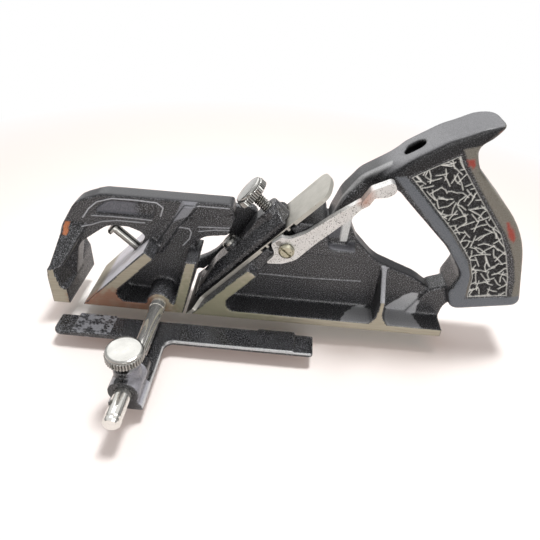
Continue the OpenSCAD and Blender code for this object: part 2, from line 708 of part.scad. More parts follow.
// Fence: plate, guide wall, raised pads, arm and rod sleeve
module fence() {
    tongue = 10;
    pad_len = 20;
    pad_out = 1.2;
    step = 0.8;
    inner = fence_len - 2 * tongue;
    x1 = fence_x + fence_len;
    bell_x = arm_w / 2;
    plan = rounded([
        [fence_x, fence_face, 0.5], [fence_x, fence_back, 4], [x1, fence_back, 1.5], [x1, fence_face, 0.5]]);
    root_x = bell_x + 2 * arm_fillet;
    arm_plan = rounded([
        [rod_x - root_x, fence_face, 0], [rod_x - root_x, fence_back, 0],
        [rod_x - bell_x, fence_back, arm_fillet], [rod_x - bell_x, arm_end, 1], [rod_x + bell_x, arm_end, 1],
        [rod_x + bell_x, fence_back, arm_fillet], [rod_x + root_x, fence_back, 0],
        [rod_x + root_x, fence_face, 0]]);
    bell = rounded([
        [rod_x - bell_x, fence_top - fence_t, 0], [rod_x + bell_x, fence_top - fence_t, 0],
        [rod_x + bell_x, fence_top, 0.8], [rod_x + sleeve_r - 1.5, fence_top + 2, 3],
        [rod_x + sleeve_r, rod_z, 0], [rod_x - sleeve_r, rod_z, 0],
        [rod_x - sleeve_r + 1.5, fence_top + 2, 3], [rod_x - bell_x, fence_top, 0.8]]);
    color("#232325") difference() {
        union() {
            translate([0, 0, fence_top - fence_t]) linear_extrude(fence_t - step) polygon(plan);
            translate([fence_x + tongue, fence_back, fence_top - step - eps])
                cube([inner, fence_w, step + eps]);
            translate([fence_x + tongue, fence_face - guide_t, fence_top - guide_h])
                cube([inner, guide_t, guide_h - step]);
            for (x = [fence_x + tongue, x1 - tongue - pad_len])
                translate([x, fence_face - guide_t, fence_top - guide_h])
                    cube([pad_len, guide_t + pad_out, guide_h]);
            translate([0, 0, fence_top - fence_t]) linear_extrude(fence_t) polygon(arm_plan);
            slab(bell, arm_end, arm_end + sleeve_len);
            y_rod(rod_x, rod_z, sleeve_r, arm_end, arm_end + sleeve_len);
            translate([rod_x, fence_screw_y, rod_z]) cylinder(r = sleeve_r - 1, h = sleeve_r + neck_h);
        }
        y_rod(rod_x, rod_z, rod_d / 2 + fit, arm_end - 1, arm_end + sleeve_len + 1);
        translate([rod_x, fence_screw_y, rod_z]) cylinder(d = thumb_d + 2 * fit, h = sleeve_r + neck_h + 1);
    }
}

// Rod with a threaded end, a collar, a hole for a turning bar, a ring groove and a chamfered end
module fence_rod() {
    hole_d = 4;
    hole_in = 9;
    groove_in = 2;
    chamfer = 0.8;
    r = rod_d / 2;
    run = rod_out - collar_t - seat;
    color("#c6c4bd") translate([rod_x, 0, rod_z]) difference() {
        translate([0, -half_w, 0]) rotate([90, 0, 0]) union() {
            translate([0, 0, -socket_depth + 1]) cylinder(d = rod_thread_d, h = socket_depth);
            translate([0, 0, seat]) rotate_extrude() polygon([
                [0, 0], [collar_r, 0], [collar_r, collar_t], [r, collar_t],
                [r, collar_t + run - groove_in - 1.2], [r - 0.6, collar_t + run - groove_in - 0.6],
                [r, collar_t + run - groove_in], [r, collar_t + run - chamfer],
                [r - chamfer, collar_t + run], [0, collar_t + run]]);
        }
        translate([0, rod_end + hole_in, 0]) rotate([0, -55, 0])
            cylinder(d = hole_d, h = 4 * rod_d, center = true);
    }
}

module fence_thumb_screw() {
    top = boss_top + neck_h;
    color("#d2d2cf") translate([rod_x, fence_screw_y, top])
        thumb_screw(top - rod_z - rod_d / 2 - seat, fence_thread);
}

// Depth stop: slotted slide with a foot that rides on the work
module depth_stop() {
    y0 = half_w + seat;
    half = stop_w / 2;
    slot = thumb_d + 2 * loose;
    color("#26262a") difference() {
        union() {
            slab(rounded([
                [stop_x - half, stop_rest, 0], [stop_x + half, stop_rest, 0],
                [stop_x + half, stop_rest + stop_h, 4], [stop_x - half, stop_rest + stop_h, 4]]),
                y0, y0 + stop_t);
            translate([0, 0, stop_rest]) linear_extrude(stop_t) polygon(rounded([
                [stop_x - foot_len / 2, y0, 0], [stop_x + foot_len / 2, y0, 0],
                [stop_x + foot_len / 2, y0 + foot_w, 3], [stop_x - foot_len / 2, y0 + foot_w, 3]]));
        }
        for (dz = [-stop_travel, stop_travel])
            y_rod(stop_x, stop_screw_z + dz, slot / 2, half_w, y0 + stop_t + 1);
        translate([stop_x - slot / 2, half_w, stop_screw_z - stop_travel])
            cube([slot, stop_t + 2, 2 * stop_travel]);
    }
}

module depth_stop_screw() {
    y0 = half_w + seat + stop_t + seat;
    color("#cdccc7") translate([stop_x, y0, stop_screw_z]) rotate([-90, 0, 0]) union() {
        thumb_screw(half_w - half_web, washer_t);
        cylinder(d = washer_d, h = washer_t + eps);
    }
}

// Three-lobed spur; the place without a lobe points down at rest
module spur() {
    lobe_r = 1.5;
    color("#a9a7a0") difference() {
        union() {
            y_rod(spur_x, spur_z, spur_r * 0.55, half_w - spur_t - 0.1, half_w - 0.1);
            for (a = [0, 90, 180])
                y_rod(spur_x + (spur_r - lobe_r) * cos(a), spur_z + (spur_r - lobe_r) * sin(a), lobe_r,
                    half_w - spur_t - 0.1, half_w - 0.1);
        }
        y_rod(spur_x, spur_z, 1.2 + fit, half_w - spur_t - 1, half_w + 1);
    }
}

module spur_screw() {
    color("#b5b2aa") difference() {
        union() {
            y_rod(spur_x, spur_z, 1.2, half_w - 8, half_w);
            y_rod(spur_x, spur_z, 2.2, half_w - 0.05, half_w + 0.8);
        }
        translate([spur_x, half_w + 0.8, spur_z]) rotate([-90, 30, 0]) screw_slot(2.2, 0.6, 0.4);
    }
}

// Centres the sole on the origin
module place() {
    translate([-sole_len / 2, 0, 0]) children();
}

place() plane_body();
place() cutter();
place() lever_cap();
place() lever_cap_screw();
place() main_hook_screw();
place() bullnose_hook_screw();
place() adjusting_lever();
place() lever_stud();
place() lever_pivot_screw();
place() fence();
place() fence_rod();
place() fence_thumb_screw();
place() depth_stop();
place() depth_stop_screw();
place() spur();
place() spur_screw();
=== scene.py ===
"""Looks of a cast-iron rebate plane: soft cast edges, enamel, ground faces, nickel and tool steel."""
import json
import math

import bmesh
import bpy
import numpy as np
from mathutils import Matrix, Vector

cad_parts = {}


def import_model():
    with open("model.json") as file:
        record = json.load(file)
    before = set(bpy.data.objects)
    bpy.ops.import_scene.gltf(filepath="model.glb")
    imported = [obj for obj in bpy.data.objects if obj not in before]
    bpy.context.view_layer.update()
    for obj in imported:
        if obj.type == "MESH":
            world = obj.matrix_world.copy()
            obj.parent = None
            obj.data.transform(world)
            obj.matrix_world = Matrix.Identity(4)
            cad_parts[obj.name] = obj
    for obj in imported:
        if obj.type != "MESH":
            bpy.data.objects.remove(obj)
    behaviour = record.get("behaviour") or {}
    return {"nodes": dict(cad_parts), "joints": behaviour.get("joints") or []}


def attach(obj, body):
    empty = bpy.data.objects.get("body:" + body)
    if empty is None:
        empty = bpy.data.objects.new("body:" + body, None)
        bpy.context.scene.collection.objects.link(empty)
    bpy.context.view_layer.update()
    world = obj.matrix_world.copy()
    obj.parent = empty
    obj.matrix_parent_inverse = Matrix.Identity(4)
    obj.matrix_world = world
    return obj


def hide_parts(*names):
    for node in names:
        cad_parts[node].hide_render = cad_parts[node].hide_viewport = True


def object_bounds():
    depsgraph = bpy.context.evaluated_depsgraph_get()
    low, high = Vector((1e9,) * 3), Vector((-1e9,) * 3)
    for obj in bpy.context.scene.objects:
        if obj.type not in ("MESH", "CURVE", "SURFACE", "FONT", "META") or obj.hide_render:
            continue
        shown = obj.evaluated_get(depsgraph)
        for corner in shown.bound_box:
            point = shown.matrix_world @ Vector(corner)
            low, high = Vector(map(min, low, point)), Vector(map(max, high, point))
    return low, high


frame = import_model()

MM = 0.001
CAD_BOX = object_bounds()
SCENE = bpy.context.scene
JOINTS = {joint["name"]: joint for joint in frame["joints"]}

# Places on the plane are given in millimetres from the toe, the middle and the sole
TOE_X = -107.5
HALF_SOLE = 19.0
# Main bed: where it meets the sole, its pitch, and where the lever cap ends on it
BED_X, BED_PITCH, CAP_END = 77.5, math.radians(48), 74
# Bullnose bed: where it meets the sole, and its pitch
BULL_X, BULL_PITCH = 16.7, math.radians(46)
FLOOR_Z = CAD_BOX[0].z
# How far a softened skin stays inside its CAD node's box, in millimetres
BOX_MARGIN = 1e-3


def at(x, y, z):
    """Point of the frame, in metres, from millimetres behind the toe, right of the middle and above the sole."""
    return Vector(((x + TOE_X) * MM, y * MM, z * MM))


# Materials


def paint(code):
    """Linear colour of an sRGB hex value."""
    parts = [int(code[i:i + 2], 16) / 255 for i in (1, 3, 5)]
    return [c / 12.92 if c <= 0.04045 else ((c + 0.055) / 1.055) ** 2.4 for c in parts] + [1.0]


def add(tree, kind, sockets=None, **settings):
    """Adds a shader node, sets it, and fills its sockets with values or links."""
    node = tree.nodes.new("ShaderNode" + kind)
    for key, value in settings.items():
        setattr(node, key, value)
    for key, value in (sockets or {}).items():
        if isinstance(value, bpy.types.NodeSocket):
            tree.links.new(value, node.inputs[key])
        else:
            node.inputs[key].default_value = value
    return node


def new_material(name):
    """Empty material with its tree, its Principled shader and coordinates in metres."""
    made = bpy.data.materials.new(name)
    made.use_nodes = True
    tree = made.node_tree
    shader = tree.nodes["Principled BSDF"]
    place = add(tree, "TexCoord").outputs["Object"]
    return made, tree, shader, place


def per_mm(size):
    """Texture scale that gives features of this size, in millimetres, on coordinates in metres."""
    return 1 / (size * MM)


# Painted patches: noise range in which the skin shows through in specks, share of paint left there, and how
# strongly the skin and the paint mirror the room
SPECK_RANGE = (0.3, 0.5)
SPECK_PAINT = 0.7
SKIN_SHEEN, PAINT_SHEEN = 0.5, 0.15


def tinted(tree, shader, coat, grain):
    """Lays the painted patches of the mesh over a colour; they are duller than the skin, which shows in specks."""
    tint = add(tree, "Attribute", attribute_name="tint")
    share = add(tree, "MapRange", {"Value": grain, "From Min": SPECK_RANGE[0], "From Max": SPECK_RANGE[1],
                                   "To Min": SPECK_PAINT})
    share = add(tree, "Math", {0: share.outputs[0], 1: tint.outputs["Alpha"]}, operation="MULTIPLY")
    look = add(tree, "Mix", {"Factor": share.outputs[0], 6: coat, 7: tint.outputs["Color"]}, data_type="RGBA")
    dull = add(tree, "MapRange", {"Value": tint.outputs["Alpha"], "To Min": SKIN_SHEEN, "To Max": PAINT_SHEEN})
    tree.links.new(look.outputs[2], shader.inputs["Base Color"])
    tree.links.new(dull.outputs[0], shader.inputs["Specular IOR Level"])


# Enamel: sizes of its pebbles, sparkle and clouds and depth of the pebbles, in millimetres; noise range of the
# sparkle, and width of the edge of a place bared by rubbing, which also carries a painted highlight
PEBBLE, SPARKLE, CLOUD, PEBBLE_DEEP = 0.9, 0.5, 14, 0.2
SPARKLE_RANGE = (0.49, 0.77)
RUB_AND_GLINT_EDGE = 0.3


def japanned_iron(name, grey="#8c8c90", wear_and_glint="#8d8d92", wear_and_glint_from=0.7, rough=(0.26, 0.44)):
    """Black enamel baked on cast iron: a pebbled gloss skin, bared to grey iron by rubbing where it is proud.

    The eye sees near-black with a fine sparkle and broad soft highlights; its paler edges are wear with a painted
    highlight.
    """
    made, tree, shader, place = new_material(name)
    pebble = add(tree, "TexNoise", {"Vector": place, "Scale": per_mm(PEBBLE), "Detail": 3.0})
    grain = add(tree, "TexNoise", {"Vector": place, "Scale": per_mm(SPARKLE), "Detail": 1.0})
    cloud = add(tree, "TexNoise", {"Vector": place, "Scale": per_mm(CLOUD), "Detail": 4.0})
    sparkle = add(tree, "MapRange", {"Value": grain.outputs["Fac"], "From Min": SPARKLE_RANGE[0],
                                     "From Max": SPARKLE_RANGE[1]})
    mottle = add(tree, "Mix", {"Factor": sparkle.outputs[0], 6: paint("#0a0a0c"), 7: paint(grey)}, data_type="RGBA")
    proud = add(tree, "Attribute", attribute_name="proud")
    broken = add(tree, "Math", {0: proud.outputs["Fac"], 1: cloud.outputs["Fac"], 2: pebble.outputs["Fac"]},
                 operation="MULTIPLY_ADD")
    # Proud places turn pale: bare iron from wear, and a painted highlight along the edges
    rub_and_glint = add(tree, "MapRange", {"Value": broken.outputs[0], "From Min": wear_and_glint_from, "From Max": wear_and_glint_from + RUB_AND_GLINT_EDGE})
    coat = add(tree, "Mix", {"Factor": rub_and_glint.outputs[0], 6: mottle.outputs[2], 7: paint(wear_and_glint)}, data_type="RGBA")
    gloss = add(tree, "MapRange", {"Value": cloud.outputs["Fac"], "To Min": rough[0], "To Max": rough[1]})
    dent = add(tree, "Bump", {"Height": pebble.outputs["Fac"], "Strength": 0.25, "Distance": PEBBLE_DEEP * MM})
    tinted(tree, shader, coat.outputs[2], grain.outputs["Fac"])
    tree.links.new(gloss.outputs[0], shader.inputs["Roughness"])
    tree.links.new(dent.outputs[0], shader.inputs["Normal"])
    return made


# Ground iron: width of the grinder's lines, how much longer they run than they are wide, depth of the lines and
# size of the clouds, in millimetres
LINE, LINE_RUN, LINE_DEEP, IRON_CLOUD = 0.8, 12.5, 0.06, 6


def ground_iron(name):
    """Bare grey iron ground on a surface grinder: fine lines along the sole, tan with age.

    The eye sees a dull tan with faint streaks along its length, and the painted stains of rust.
    """
    made, tree, shader, place = new_material(name)
    along = add(tree, "Mapping", {"Vector": place, "Scale": (1 / LINE_RUN, 1.0, 1.0)})
    lines = add(tree, "TexNoise", {"Vector": along.outputs[0], "Scale": per_mm(LINE), "Detail": 3.0})
    cloud = add(tree, "TexNoise", {"Vector": place, "Scale": per_mm(IRON_CLOUD), "Detail": 5.0})
    steel = add(tree, "Mix", {"Factor": lines.outputs["Fac"], 6: paint("#8b8372"), 7: paint("#aca492")},
                data_type="RGBA")
    gloss = add(tree, "MapRange", {"Value": cloud.outputs["Fac"], "To Min": 0.4, "To Max": 0.6})
    groove = add(tree, "Bump", {"Height": lines.outputs["Fac"], "Strength": 0.2, "Distance": LINE_DEEP * MM})
    tinted(tree, shader, steel.outputs[2], cloud.outputs["Fac"])
    tree.links.new(gloss.outputs[0], shader.inputs["Roughness"])
    tree.links.new(groove.outputs[0], shader.inputs["Normal"])
    shader.inputs["Metallic"].default_value = 0.25
    return made


# Plate: size of its haze and depth of its pits, in millimetres, width of a speck's edge, the full core of a stain
# as a share of its radius, and how squarely a face has to lie to take painted shade
HAZE, PIT_DEEP, SPECK_EDGE, STAIN_CORE = 6, 0.05, 0.1, 0.4
SQUARE_FROM, SQUARE_TO = 0.7, 0.9


def plated_steel(name, bright, dull, spot, fine=0.6, rough=(0.12, 0.34), spots=0.66, metal=1.0, stain=None,
                 painted_shade=None):
    """Metal plate or polished steel with hairline scratches and small dark specks where it has aged.

    The eye sees a pale metal that mirrors the room softly, peppered with tiny dark points and black with old
    oil in its grooves. A stain is a brown patch, given by its middle and its radius. Painted shade darkens the
    metal below a height along a slope, on the face square to it: slope, face and the two heights between which it
    clears.
    """
    made, tree, shader, place = new_material(name)
    haze = add(tree, "TexNoise", {"Vector": place, "Scale": per_mm(HAZE), "Detail": 5.0})
    speck = add(tree, "TexNoise", {"Vector": place, "Scale": per_mm(fine), "Detail": 2.0})
    look = add(tree, "Mix", {"Factor": haze.outputs["Fac"], 6: paint(bright), 7: paint(dull)}, data_type="RGBA")
    share = add(tree, "MapRange", {"Value": speck.outputs["Fac"], "From Min": spots, "From Max": spots + SPECK_EDGE})
    look = add(tree, "Mix", {"Factor": share.outputs[0], 6: look.outputs[2], 7: paint(spot)}, data_type="RGBA")
    if stain:
        far = add(tree, "VectorMath", {0: place, 1: stain[0]}, operation="DISTANCE")
        share = add(tree, "MapRange", {"Value": far.outputs["Value"], "From Min": stain[1],
                                       "From Max": stain[1] * STAIN_CORE})
        share = add(tree, "Math", {0: share.outputs[0], 1: haze.outputs["Fac"]}, operation="MULTIPLY")
        look = add(tree, "Mix", {"Factor": share.outputs[0], 6: look.outputs[2], 7: paint("#9c5a33")},
                   data_type="RGBA")
    if painted_shade:
        slope, face, low, high = painted_shade
        up = add(tree, "VectorMath", {0: place, 1: slope}, operation="DOT_PRODUCT")
        share = add(tree, "MapRange", {"Value": up.outputs["Value"], "From Min": high, "From Max": low})
        flat = add(tree, "VectorMath", {0: add(tree, "NewGeometry").outputs["Normal"], 1: face},
                   operation="DOT_PRODUCT")
        flat = add(tree, "MapRange", {"Value": flat.outputs["Value"], "From Min": SQUARE_FROM, "From Max": SQUARE_TO})
        share = add(tree, "Math", {0: share.outputs[0], 1: flat.outputs[0]}, operation="MULTIPLY")
        look = add(tree, "Mix", {"Factor": share.outputs[0], 6: look.outputs[2], 7: paint("#2b2a29")},
                   data_type="RGBA")
    oil = add(tree, "Attribute", attribute_name="groove")
    look = add(tree, "Mix", {"Factor": oil.outputs["Fac"], 6: look.outputs[2], 7: paint("#24211d")},
               data_type="RGBA")
    gloss = add(tree, "MapRange", {"Value": haze.outputs["Fac"], "To Min": rough[0], "To Max": rough[1]})
    pits = add(tree, "Bump", {"Height": speck.outputs["Fac"], "Strength": 0.1, "Distance": PIT_DEEP * MM})
    tree.links.new(look.outputs[2], shader.inputs["Base Color"])
    tree.links.new(gloss.outputs[0], shader.inputs["Roughness"])
    tree.links.new(pits.outputs[0], shader.inputs["Normal"])
    shader.inputs["Metallic"].default_value = metal
    return made


ENAMEL = japanned_iron("japanned_cast_iron")
# Enamel of the fence, stop and lever cap: brighter proud edges, which are wear with a painted highlight
FENCE_ENAMEL = japanned_iron("japanned_fence_iron", grey="#717175", wear_and_glint="#b4b4b6", wear_and_glint_from=0.66,
                             rough=(0.18, 0.36))
IRON = ground_iron("surface_ground_cast_iron")
BED_SLOPE = Vector((math.cos(BED_PITCH), 0, math.sin(BED_PITCH)))
BED_FACE = Vector((-math.sin(BED_PITCH), 0, math.cos(BED_PITCH)))
# Painted shade on the cutter's face up to where the lever cap ends on the bed, clearing 3 mm farther up
SHADE_END = BED_SLOPE.dot(at(BED_X, 0, 0)) + CAP_END * MM
BLADE = plated_steel("ground_tool_steel", "#bcb9b1", "#9b9890", "#76726a", rough=(0.4, 0.52), metal=0.6,
                     painted_shade=(BED_SLOPE, BED_FACE, SHADE_END, SHADE_END + 3 * MM))
NICKEL = plated_steel("polished_nickel_plate", "#b6b5b1", "#969591", "#5b574f", spots=0.7, rough=(0.08, 0.24))
SATIN_NICKEL = plated_steel("satin_nickel_plate", "#d8d7d5", "#b8b7b4", "#3f3c38", fine=0.5, rough=(0.25, 0.42),
                            spots=0.58, metal=0.6, stain=(at(160.5, -17, 80), 6.5 * MM))
ROD_STEEL = plated_steel("drawn_rod_steel", "#eae8e4", "#d0cec8", "#4f4b44", rough=(0.06, 0.16), metal=0.85)
TURNED_STEEL = plated_steel("turned_screw_steel", "#a5a4a0", "#63625e", "#38362f", rough=(0.18, 0.36))
PIVOT_STEEL = plated_steel("tarnished_screw_steel", "#bfbcaa", "#8f8a73", "#4c4635", fine=1.6, rough=(0.25, 0.4),
                           spots=0.55)


# Meshes


def finished(piece, body, slot, *nodes):
    """Puts a piece on its body in place of CAD nodes; the slot is not used."""
    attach(piece, body)
    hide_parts(*nodes)


def object_of(name, data):
    """New object in the scene."""
    piece = bpy.data.objects.new(name, data)
    SCENE.collection.objects.link(piece)
    return piece


def arrays(mesh):
    """Vertex places and normals, in millimetres from toe, middle and sole."""
    co = np.empty(len(mesh.vertices) * 3, np.float32)
    mesh.vertices.foreach_get("co", co)
    normal = np.empty_like(co)
    mesh.vertices.foreach_get("normal", normal)
    co = co.reshape(-1, 3).astype(float) / MM - [TOE_X, 0, 0]
    return co, normal.reshape(-1, 3).astype(float)


def set_places(mesh, co):
    """Writes vertex places given in millimetres from toe, middle and sole."""
    metres = (co + [TOE_X, 0, 0]) * MM
    mesh.vertices.foreach_set("co", metres.astype(np.float32).ravel())
    mesh.update()


def within(co, node):
    """Places held inside the box of a CAD node."""
    limits, _ = arrays(frame["nodes"][node].data)
    return np.clip(co, limits.min(0) + BOX_MARGIN, limits.max(0) - BOX_MARGIN)


def edge_ends(mesh):
    """Two vertex numbers for each edge."""
    ends = np.empty(len(mesh.edges) * 2, np.int32)
    mesh.edges.foreach_get("vertices", ends)
    return ends.reshape(-1, 2)


def neighbour_mean(values, ends):
    """Mean over each vertex's neighbours."""
    count = np.bincount(ends.ravel(), minlength=len(values))
    total = np.empty_like(values)
    for k in range(values.shape[1]):
        column = values[:, k]
        total[:, k] = np.bincount(ends[:, 0], column[ends[:, 1]], len(values))
        total[:, k] += np.bincount(ends[:, 1], column[ends[:, 0]], len(values))
    return total / np.maximum(count, 1)[:, None]


# Share of the way to its neighbours' mean that a vertex goes in one round
PULL = 0.5


def soften(mesh, rounds, weight):
    """Draws each vertex towards its neighbours, by a weight from 0 to 1, as many times as rounds says."""
    ends = edge_ends(mesh)
    co, _ = arrays(mesh)
    for _ in range(rounds):
        co += PULL * weight[:, None] * (neighbour_mean(co, ends) - co)
    set_places(mesh, co)


def skin_of(node, name, voxel):
    """Copy of a CAD node with one even skin of small faces, ready to soften."""
    piece = object_of(name, frame["nodes"][node].data.copy())
    remesh = piece.modifiers.new("skin", "REMESH")
    remesh.mode = "VOXEL"
    remesh.voxel_size = voxel * MM
    graph = bpy.context.evaluated_depsgraph_get()
    mesh = bpy.data.meshes.new_from_object(piece.evaluated_get(graph))
    piece.modifiers.clear()
    old = piece.data
    piece.data = mesh
    bpy.data.meshes.remove(old)
    mesh.name = name
    mesh.materials.clear()
    return piece


def smooth(mesh):
    """Smooth shading all over."""
    mesh.polygons.foreach_set("use_smooth", np.ones(len(mesh.polygons), bool))


def mark(mesh, name, values):
    """Stores a number for each vertex."""
    layer = mesh.attributes.new(name, "FLOAT", "POINT")
    layer.data.foreach_set("value", values.astype(np.float32))


def tint_marks(mesh, patches):
    """Stores painted patches, each (share for each vertex, colour), the later ones over the earlier."""
    colour = np.zeros((len(mesh.vertices), 4))
    for share, code in patches:
        colour = colour * (1 - share[:, None]) + np.outer(share, paint(code))
    colour[:, :3] /= np.maximum(colour[:, 3:], 1e-6)
    layer = mesh.attributes.new("tint", "FLOAT_COLOR", "POINT")
    layer.data.foreach_set("color", colour.astype(np.float32).ravel())


# Rounds that even out how far vertices stand proud
PROUD_ROUNDS = 3


def proudness(mesh):
    """How far each vertex stands out of the skin round it, smoothed, in millimetres."""
    ends = edge_ends(mesh)
    co, normal = arrays(mesh)
    out = ((co - neighbour_mean(co, ends)) * normal).sum(1)[:, None]
    for _ in range(PROUD_ROUNDS):
        out = neighbour_mean(out, ends)
    return out[:, 0]


def step(values, low, high):
    """Ramp from 0 at low to 1 at high."""
    return np.clip((values - low) / (high - low), 0, 1)


# Noise: number of waves in it; blobs: size of the waves in their border in millimetres, their seed, and steepness
WAVES = 9
BLOB_WAVE, BLOB_SEED, BLOB_STEEP = 3.0, 5, 2.5


def ripple(co, size, seed):
    """Smooth noise about 0, with waves of this size in millimetres."""
    rng = np.random.default_rng(seed)
    waves = rng.normal(0, 1, (WAVES, 3))
    waves *= 2 * np.pi / (size * np.linalg.norm(waves, axis=1)[:, None])
    return np.sin(co @ waves.T + rng.uniform(0, 2 * np.pi, WAVES)).mean(1)


def blob(co, centre, radius, ragged=0.0):
    """Share from 1 at a centre to 0 at a radius, in millimetres, with a border broken by waves."""
    near = 1 - np.linalg.norm((co - centre) / radius, axis=1)
    return np.clip(BLOB_STEEP * (near + ragged * ripple(co, BLOB_WAVE, BLOB_SEED)), 0, 1)


def path_distance(points, path):
    """Distance of points to an open line of corners."""
    best = np.full(len(points), 1e9)
    path = np.array(path, float)
    for a, b in zip(path[:-1], path[1:]):
        run = b - a
        t = np.clip(((points - a) @ run) / (run @ run), 0, 1)
        best = np.minimum(best, np.linalg.norm(points - a - t[:, None] * run, axis=1))
    return best


def crest(distance, width):
    """Height from 1 along a raised line to 0 at its half width, with a flat top."""
    return np.clip(1.5 * (1 - distance / width), 0, 1)


def outline_distance(points, outline):
    """Signed distance of points to a closed outline, positive inside."""
    outline = np.array(outline, float)
    best = path_distance(points, np.vstack([outline, outline[:1]]))
    inside = np.zeros(len(points), bool)
    for a, b in zip(outline, np.roll(outline, -1, axis=0)):
        crosses = (a[1] > points[:, 1]) != (b[1] > points[:, 1])
        rise = b[1] - a[1] if b[1] != a[1] else 1e-9
        inside ^= crosses & (points[:, 0] < a[0] + (points[:, 1] - a[1]) * (b[0] - a[0]) / rise)
    return np.where(inside, best, -best)


# Body casting; outlines and lines are given as (x, z)

# Sunk panel in the side of the grip: how far out its floor lies at least, its outline, the smooth border ahead of it
# and below, and the rounded back behind it
PANEL_Y = 9
GRIP_PANEL = [
    (179.5, 89), (200, 102), (203.5, 96), (212, 85.5), (222, 73.5), (231, 63), (237, 52), (242, 39), (245.5, 26),
    (224, 22.5), (223, 36), (219, 46), (207, 61)]
GRIP_BORDER = [
    (173.6, 88.3), (178.2, 89.2), (188.3, 79.5), (198.7, 69.7), (209.9, 58.4), (218.6, 47), (221.9, 39.6),
    (223, 31.9), (224, 23), (246, 26), (258, 30), (258, 12), (209, 10), (205, 20), (213, 25), (216.6, 28.6),
    (216.4, 36.4), (213, 43.6), (207.4, 53.2), (197, 63.8), (185.4, 75.9)]
GRIP_BACK = [
    (200, 104), (207, 106), (212, 97), (230, 80), (244, 65), (252, 45), (258, 20), (247.5, 24), (245.2, 37),
    (240.6, 49.1), (235.5, 58.1), (228.8, 66.6), (219.9, 76.6), (211.2, 87.2), (205.8, 94.6), (202, 100.5)]
# Marks of red paint on the back of the grip
GRIP_RED = [
    [(202.3, 99.9), (206.3, 100.2), (207.7, 96.8), (207, 95.3), (204, 96.4)],
    [(229.5, 70.1), (230.9, 70.8), (234.8, 66.2), (237.5, 61.9), (236.9, 58.9), (233.6, 61.5)]]
# Painted grey reflections on the sole behind the gusset and ahead of it, given as (x, y), and on the web, as (x, z)
HEEL_FLOOR = [(182.5, -20), (184, -12), (186.5, -4), (201, -4), (200, -8), (204.5, -20)]
HEEL_WEB = [(185, 4), (187, 8), (190, 11.5), (192.3, 13.9), (196.9, 18), (201.4, 17.8), (202.5, 12.9), (202, 4)]
FORE_FLOOR = [(158.4, -20), (162.7, -11.1), (166.9, -6.2), (172.1, -4), (175.8, -7.5), (178.2, -12.2), (178.2, -20)]
# Where the handle starts
GRIP_X = 168
# Patches given as (x, z): end of the rib behind the arch, kidney panel of the arch, chip on the nose
RIB_END = [(67, 51), (72.8, 63.5), (81, 63.5), (75.1, 54.9)]
KIDNEY = [(24, 51), (34, 60), (61, 60), (57, 51)]
NOSE_CHIP = [(9, 45), (12.6, 45.3), (10.6, 38.6), (7.9, 38.7)]
# Oval recess in the horn's top, painted dark as shade: its middle as (x, z), its tilt, half its straight part, and
# its radius
RECESS_X, RECESS_Z, RECESS_TILT, RECESS_BAR, RECESS_R = 183, 97, math.radians(29), 1.2, 4.3
# Rounding of the horn's tip in plan: where it sets in along x and z, half width of its flat part, and how fast it
# falls back beside it
TIP_X, TIP_Z = (200, 214), (96, 102)
TIP_FLAT = 3.5
TIP_ROUND = 0.04
# Raised twigs on the grip's panels: spacing, reach to each side, greatest bend, half width and height
CRACK_CELL = 3.7
CRACK_REACH = (1.8, 4.4)
CRACK_BEND = 0.6
CRACK_W = 0.44
CRACK_H = 0.9
# Line round the twigs: how far inside the panel it runs, and its height as a share of theirs
BORDER_IN, BORDER_HIGH = 1.0, 0.7
# Seeds of the twigs on the left and on the right
CRACK_SEEDS = ((-1, 11), (1, 29))

# Beads cast on the sides of the arch and the webs: how far out the side lies, share of painted highlight on them, and
# their lines; then their half width, their height, and how near to the side a vertex has to be to carry them
BEADS = [
    (5, 0.75, [(19.5, 48.3), (23.5, 54), (28.2, 58.2), (36.4, 60.9), (48, 61.1), (59.5, 60.6), (62.6, 58), (61, 53)]),
    (5, 0.6, [(24.5, 50), (35.2, 50.3), (49.9, 50.3), (56, 50)]),
    (5, 0.6, [(18.4, 43.2), (23.3, 44.2), (29.1, 46.8), (37.5, 48.2), (52.3, 48.2)]),
    (4.5, 0.6, [(67.5, 47.4), (75.5, 46.6), (76.5, 44.4), (75.3, 40.3), (71.7, 35.9)]),
    (5, 0.6, [(80.4, 48.2), (96.5, 49.1)]),
    (5, 0.5, [(80.3, 45.4), (89.1, 47.2), (96.5, 47.5)]),
    (5, 0.6, [(79, 60.8), (96.5, 60.8)]),
    (4.5, 0.3, [(113, 21.5), (139, 21.3), (169, 22.3)])]
BEAD_W = 0.5
BEAD_H = 0.4
SIDE_NEAR = 1.5


def crackle(points, seed):
    """Height from 0 to 1 of raised bent twigs strewn over (x, z)."""
    rng = np.random.default_rng(seed)
    low, high = points.min(0) - CRACK_CELL, points.max(0) + CRACK_CELL
    steps = np.ceil((high - low) / CRACK_CELL).astype(int)
    grid = np.stack(np.meshgrid(*[np.arange(n) for n in steps], indexing="ij"), -1).reshape(-1, 2)
    knots = low + (grid + rng.uniform(0.1, 0.9, grid.shape)) * CRACK_CELL
    best = np.full(len(points), 1e9)
    for knot in knots:
        lean = rng.uniform(0, np.pi)
        ways = np.array([lean + np.pi, lean + rng.uniform(-CRACK_BEND, CRACK_BEND)])
        ends = knot + rng.uniform(*CRACK_REACH, (2, 1)) * np.stack([np.cos(ways), np.sin(ways)], 1)
        chosen = np.abs(points - knot).max(1) < CRACK_REACH[1] + CRACK_W
        best[chosen] = np.minimum(best[chosen], path_distance(points[chosen], [ends[0], knot, ends[1]]))
    return crest(best, CRACK_W)


